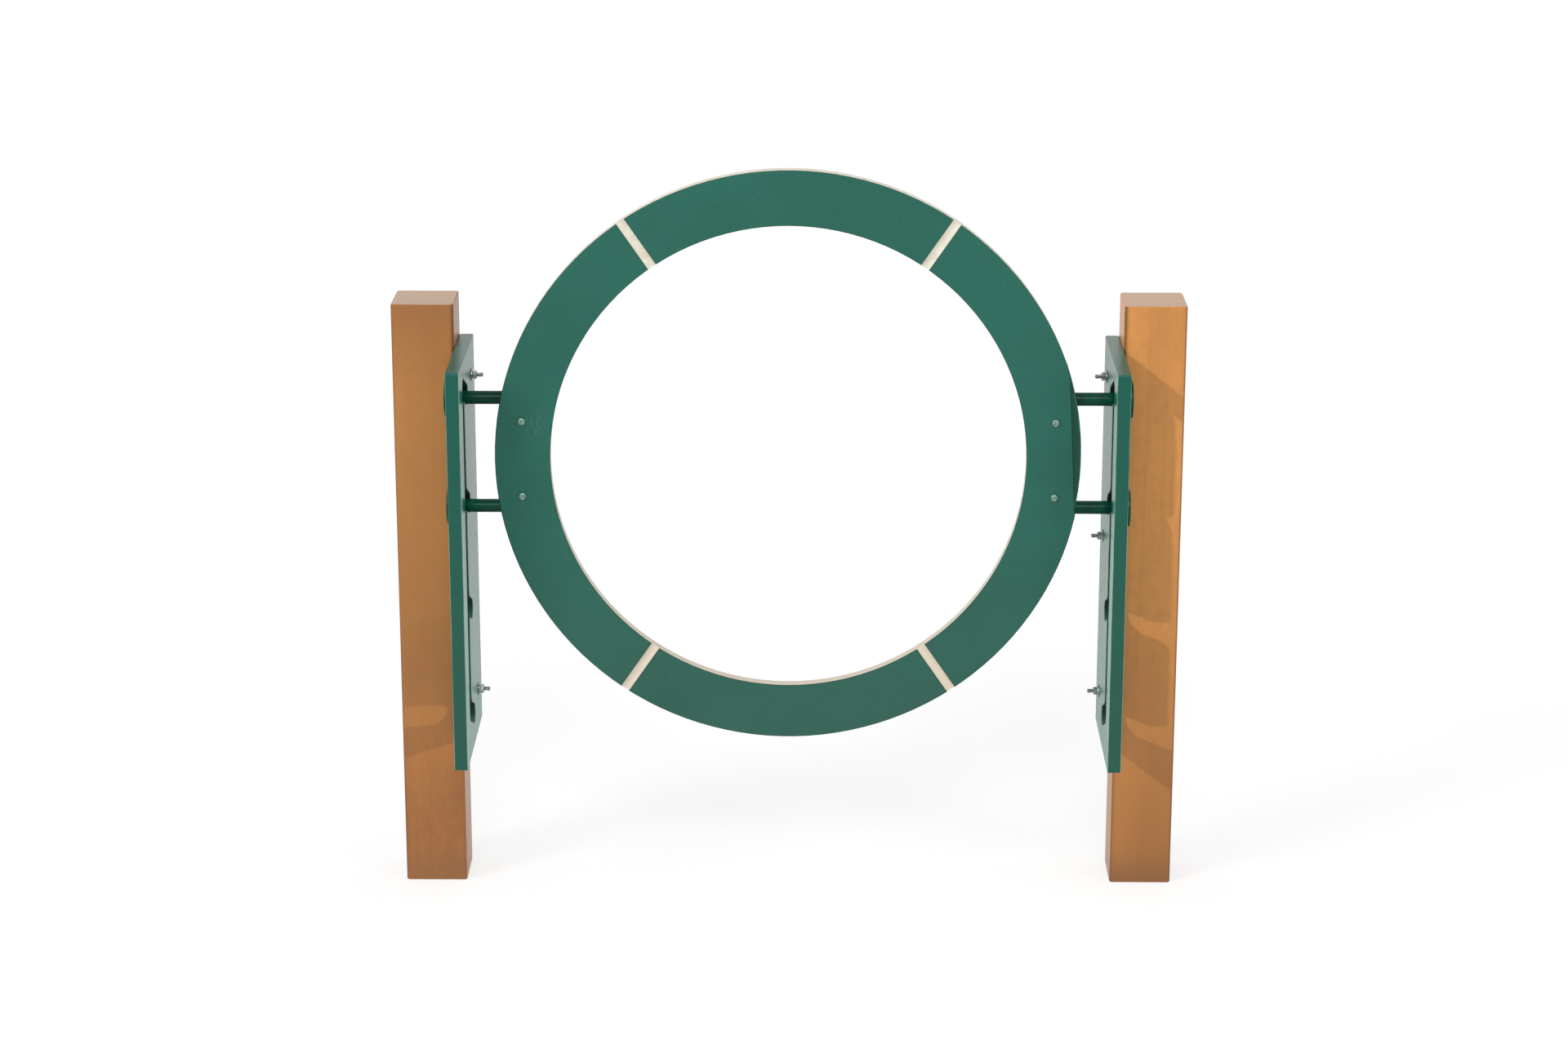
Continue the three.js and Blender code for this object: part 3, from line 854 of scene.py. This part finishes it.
sides = {"left": Vector((-1, 0, 0)), "right": Vector((1, 0, 0))}  # the way outwards at each
fastenerCount = 0
for side, outwards in sides.items():
    for level in ("upper", "middle", "lower"):
        place = side + "_" + level
        if place + "_plate_bolt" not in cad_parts:
            continue  # the left plate's middle bore is empty
        turn = math.radians(hexFastener["turns"][fastenerCount])
        bolt = hexBolt(place + "_hex_bolt", place + "_plate_bolt", outwards, turn)
        finished(bolt, "stand", "zinc", place + "_plate_bolt")
        nut = hexNut(place + "_hex_nut", place + "_plate_nut", outwards, turn * 2)
        finished(nut, "stand", "zinc", place + "_plate_nut")
        outer = washer(place + "_outer_flat_washer", place + "_outer_washer", outwards)
        finished(outer, "stand", "zinc", place + "_outer_washer")
        inner = washer(place + "_inner_flat_washer", place + "_inner_washer", -outwards)
        finished(inner, "stand", "zinc", place + "_inner_washer")
        fastenerCount += 1
print("plate bolts made:", fastenerCount)


hungBolt = {
    "radius": 3.175 * mm,
    "headRadius": 5.75 * mm,
    "headHeight": 3.3 * mm,
    "rim": 0.8 * mm,
    "socketFlat": 2.0 * mm,
    "socketDeep": 1.8 * mm,
    "threaded": 16 * mm,
}
lockBolt = {
    "radius": 2.4 * mm,
    "headRadius": 4.75 * mm,
    "headHeight": 3.0 * mm,
    "rim": 0.9 * mm,
    "socketFlat": 1.5 * mm,
    "socketDeep": 1.4 * mm,
    "threaded": 0,
}
domedBolt = {
    "endChamfer": 0.6 * mm,
    "headEase": 0.2 * mm,
    "domeRows": 7,
    # the dome's flat top and the socket's eased mouth, as shares of the socket's half flat
    "topShare": 1.42,
    "mouthShare": 1.22,
    "mouthDrop": 0.05 * mm,
    "socketEase": 0.3 * mm,
    "pitShare": 0.3,
    "pitDepth": 0.2 * mm,
    "turn": 0.4,
    "steps": 48,
}


def socketBolt(name, node, along, look):
    # the domed head with its hexagon socket is at the far end, and heights count from its lower side
    headRadius, headHeight, rim = (look[key] for key in ("headRadius", "headHeight", "rim"))
    flat, ease = look["socketFlat"], domedBolt["headEase"]
    length = lengthOf(node, along) - headHeight
    rows = shankRows(look["radius"], length, look["threaded"], domedBolt["endChamfer"])
    rows += [(look["radius"], 0), (headRadius - ease, 0), (headRadius, ease)]
    top = flat * domedBolt["topShare"]
    for step in range(domedBolt["domeRows"]):
        angle = fullTurn / 4 * step / domedBolt["domeRows"]
        across, rise = math.cos(angle), math.sin(angle)
        rows.append((top + (headRadius - top) * across, rim + (headHeight - rim) * rise))
    pit = headHeight - look["socketDeep"]
    rows += [
        (top, headHeight),
        (flat * domedBolt["mouthShare"], headHeight - domedBolt["mouthDrop"]),
        hexRow(flat, headHeight - domedBolt["socketEase"]),
        hexRow(flat, pit),
        (flat * domedBolt["pitShare"], pit - domedBolt["pitDepth"]),
    ]
    spot = startOf(node, along) + along * length
    return shell(name, ringsOf(rows, domedBolt["steps"], spot, along, domedBolt["turn"]))


backwards = Vector((0, 1, 0))
for side in sides:
    for level in ("upper", "lower"):
        place = side + "_" + level
        bolt = socketBolt(place + "_socket_bolt", place + "_ring_bolt", -backwards, hungBolt)
        finished(bolt, "hung_ring", "zinc", place + "_ring_bolt", finish=greenishZinc)
        screw = socketBolt(place + "_socket_screw", place + "_lock_screw", backwards, lockBolt)
        finished(screw, "hung_ring", "zinc", place + "_lock_screw")
        flat = washer(place + "_back_washer", place + "_ring_washer", backwards)
        finished(flat, "hung_ring", "zinc", place + "_ring_washer")
        turn = math.radians(hexFastener["ringNutTurn"])
        nut = hexNut(place + "_back_nut", place + "_ring_nut", backwards, turn)
        finished(nut, "hung_ring", "zinc", place + "_ring_nut")
print("ring bolts and lock screws made")


tubeLook = {
    "radius": 9.525 * mm,
    "wall": 2.1 * mm,
    "ease": 0.35 * mm,
    "screwHole": 2.7 * mm,
    "screwHoleDepth": 20 * mm,
    "screwHoleSteps": 24,
    "steps": 64,
}
discLook = {"radius": 27 * mm, "ease": 1.1 * mm, "easeRows": 4, "centreShare": 0.3, "steps": 96}
beadLook = {
    "reach": 3.0 * mm,
    "root": 0.6 * mm,  # how deep the bead goes into the tube
    # from the disc on: the share of the reach, the height from the disc and the share of the ripple
    "profile": (
        (1.0, 0.1 * mm, 1.0),
        (0.86, 0.5 * mm, 1.0),
        (0.6, 1.17 * mm, 1.0),
        (0.3, 1.95 * mm, 0.8),
        (0.08, 2.6 * mm, 0.2),
    ),
    "ripple": 0.22 * mm,
    "ripples": 34,
    # a slower swell on top of the ripples
    "swell": 0.4,
    "swells": 5,
    "swellTurn": 1.3,
    "steps": 204,
}


def tubePiece(name, node, along):
    outer, ease = tubeLook["radius"], tubeLook["ease"]
    inner, length = outer - tubeLook["wall"], lengthOf(node, along)
    rows = [
        (inner, 0),
        (outer - ease, 0),
        (outer, ease),
        (outer, length - ease),
        (outer - ease, length),
        (inner, length),
    ]
    rings = ringsOf(rows, tubeLook["steps"], startOf(node, along), along)
    return shell(name, rings, hollow=True)


def drillHole(piece, spot, along):
    # a round hole for the lock screw, cut by a rod that is deleted afterwards
    radius, depth = tubeLook["screwHole"], tubeLook["screwHoleDepth"]
    rows = [(radius, 0), (radius, depth)]
    rod = shell("drill", ringsOf(rows, tubeLook["screwHoleSteps"], spot, along))
    cut = piece.modifiers.new("drill", "BOOLEAN")
    cut.object = rod
    cut.solver = "EXACT"
    bpy.context.view_layer.update()
    seen = piece.evaluated_get(bpy.context.evaluated_depsgraph_get())
    mesh = bpy.data.meshes.new_from_object(seen)
    piece.modifiers.clear()
    piece.data = mesh
    bpy.data.objects.remove(rod)


def discPiece(name, node, along):
    radius, ease, count = discLook["radius"], discLook["ease"], discLook["easeRows"]
    centre, thickness = radius * discLook["centreShare"], lengthOf(node, along)
    rows = [(centre, 0)]
    for base, quarter in ((ease, 3), (thickness - ease, 0)):
        for step in range(count + 1):
            angle = fullTurn / 4 * (quarter + step / count)
            rows.append((radius - ease + ease * math.cos(angle), base + ease * math.sin(angle)))
    rows.append((centre, thickness))
    return shell(name, ringsOf(rows, discLook["steps"], startOf(node, along), along))


def weldBead(name, disc, along):
    # a rippled fillet between the tube and its disc, from the disc's face back along the tube
    outer, profile = tubeLook["radius"], beadLook["profile"]

    def swollen(base, share):
        def radius(angle):
            slow = math.cos(angle * beadLook["swells"] + beadLook["swellTurn"])
            wave = math.cos(angle * beadLook["ripples"]) + beadLook["swell"] * slow
            return base + beadLook["ripple"] * wave * share
        return radius

    rows = [(swollen(outer + beadLook["reach"] * out, share), -rise) for out, rise, share in profile]
    root = outer - beadLook["root"]
    rows = [(root, -profile[0][1])] + rows + [(root, -profile[-1][1])]
    rings = ringsOf(rows, beadLook["steps"], startOf(disc, along), along)
    return shell(name, rings, hollow=True)


for side, outwards in sides.items():
    for level in ("upper", "lower"):
        place = side + "_" + level
        tube = tubePiece(place + "_coated_tube", place + "_tube", outwards)
        hole = middleOf(place + "_tube")
        hole.x = middleOf(place + "_lock_screw").x
        drillHole(tube, hole, backwards)
        finished(tube, "hung_ring", "coated_steel", place + "_tube")
        disc = discPiece(place + "_coated_disc", place + "_end_disc", outwards)
        finished(disc, "hung_ring", "coated_steel", place + "_end_disc")
        bead = weldBead(place + "_weld_bead", place + "_end_disc", outwards)
        finished(bead, "hung_ring", "coated_steel")
print("tubes, discs and weld beads made")


# Light and floor

studio = {
    "ambient": 0.6,
    # the way that each sun's light travels
    "key": (0.655, 0.555, -0.511),
    "side": (-0.74, 0.622, -0.258),
    "fill": (0.0, 0.8, -0.6),
    # each group's suns, as strength and spread in degrees: the posts get harder light than the
    # rest, for the strips that fall on them through the plates' slots
    "posts": {"key": (1.35, 2.0), "side": (0.12, 4.0), "fill": (0.66, 20.0)},
    "rest": {"key": (0.9, 20.0), "side": (0.3, 12.0), "fill": (0.72, 20.0)},
    # a spot from the right that reaches the left post's foot
    "low": {
        "aim": (-0.52, 0.029, 0.06),
        "travel": (-0.815, 0.49, -0.31),
        "distance": 3.0,
        "power": 160.0,
        "size": 0.05,
        "reach": 0.3,  # how far the lit circle reaches from the aim
        "blend": 0.4,
    },
    "floorSize": 60.0,
    "floorSeen": 0.4,  # how much of the light the floor shows to the camera
    "floorGiven": 0.8,  # how much of it the floor gives back to the object
    "floorLift": 0.665,  # the floor's own light, which only the camera and reflections see
}


def seenDirectly(tree):
    rays = addNode(tree, "ShaderNodeLightPath").outputs
    either = maths(tree, "MAXIMUM", rays["Is Camera Ray"], rays["Is Glossy Ray"])
    return maths(tree, "MAXIMUM", either, rays["Is Transmission Ray"])


def makeWorld():
    # white where it is seen, and dimmer as light on the object
    world = bpy.data.worlds.new("studio")
    world.use_nodes = True
    bpy.context.scene.world = world
    tree = world.node_tree
    background = tree.nodes["Background"]
    background.inputs["Color"].default_value = (1, 1, 1, 1)
    ambient = studio["ambient"]
    strength = timesPlus(tree, seenDirectly(tree), 1.0 - ambient, ambient)
    feed(tree, background.inputs["Strength"], strength)


def makeFloor():
    half = studio["floorSize"] / 2
    corners = [(-half, -half, 0), (half, -half, 0), (half, half, 0), (-half, half, 0)]
    mesh = bpy.data.meshes.new("floor")
    mesh.from_pydata(corners, [], [(0, 1, 2, 3)])
    floor = bpy.data.objects.new("floor", mesh)
    bpy.context.scene.collection.objects.link(floor)
    material = bpy.data.materials.new("floor finish")
    material.use_nodes = True
    tree = material.node_tree
    tree.nodes.remove(tree.nodes["Principled BSDF"])
    seen = seenDirectly(tree)
    given, shown = studio["floorGiven"], studio["floorSeen"]
    share = timesPlus(tree, seen, shown - given, given)
    diffuse = addNode(tree, "ShaderNodeBsdfDiffuse", {"Color": share})
    lift = times(tree, seen, studio["floorLift"])
    glow = addNode(tree, "ShaderNodeEmission", {"Strength": lift})
    both = addNode(tree, "ShaderNodeAddShader", {0: diffuse.outputs[0], 1: glow.outputs[0]})
    feed(tree, tree.nodes["Material Output"].inputs["Surface"], both.outputs[0])
    mesh.materials.append(material)


def makeLamp(name, kind, travel, lit):
    data = bpy.data.lights.new(name, kind)
    lamp = bpy.data.objects.new(name, data)
    lamp.rotation_mode = "QUATERNION"
    lamp.rotation_quaternion = Vector(travel).to_track_quat("-Z", "Y")
    receivers = bpy.data.collections.new(name)
    for thing in lit:
        receivers.objects.link(thing)
    lamp.light_linking.receiver_collection = receivers
    bpy.context.scene.collection.objects.link(lamp)
    return lamp


def makeSuns(which, lit):
    # the suns that shine on one group of objects alone
    for name, (strength, spread) in studio[which].items():
        sun = makeLamp(which + " " + name, "SUN", studio[name], lit)
        sun.data.energy = strength
        sun.data.angle = math.radians(spread)


def makeLowLamp(lit):
    look = studio["low"]
    travel = Vector(look["travel"]).normalized()
    low = makeLamp("low", "SPOT", travel, lit)
    low.location = Vector(look["aim"]) - travel * look["distance"]
    low.data.energy = look["power"]
    low.data.shadow_soft_size = look["size"]
    low.data.spot_size = 2 * math.atan(look["reach"] / look["distance"])
    low.data.spot_blend = look["blend"]


makeWorld()
makeFloor()
posts = [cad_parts[side + "_post"] for side in sides]
meshes = [thing for thing in bpy.context.scene.objects if thing.type == "MESH"]
makeSuns("posts", posts)
makeSuns("rest", [thing for thing in meshes if thing not in posts])
makeLowLamp([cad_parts["left_post"]])
bpy.context.scene.view_settings.view_transform = "Standard"
print("studio made")
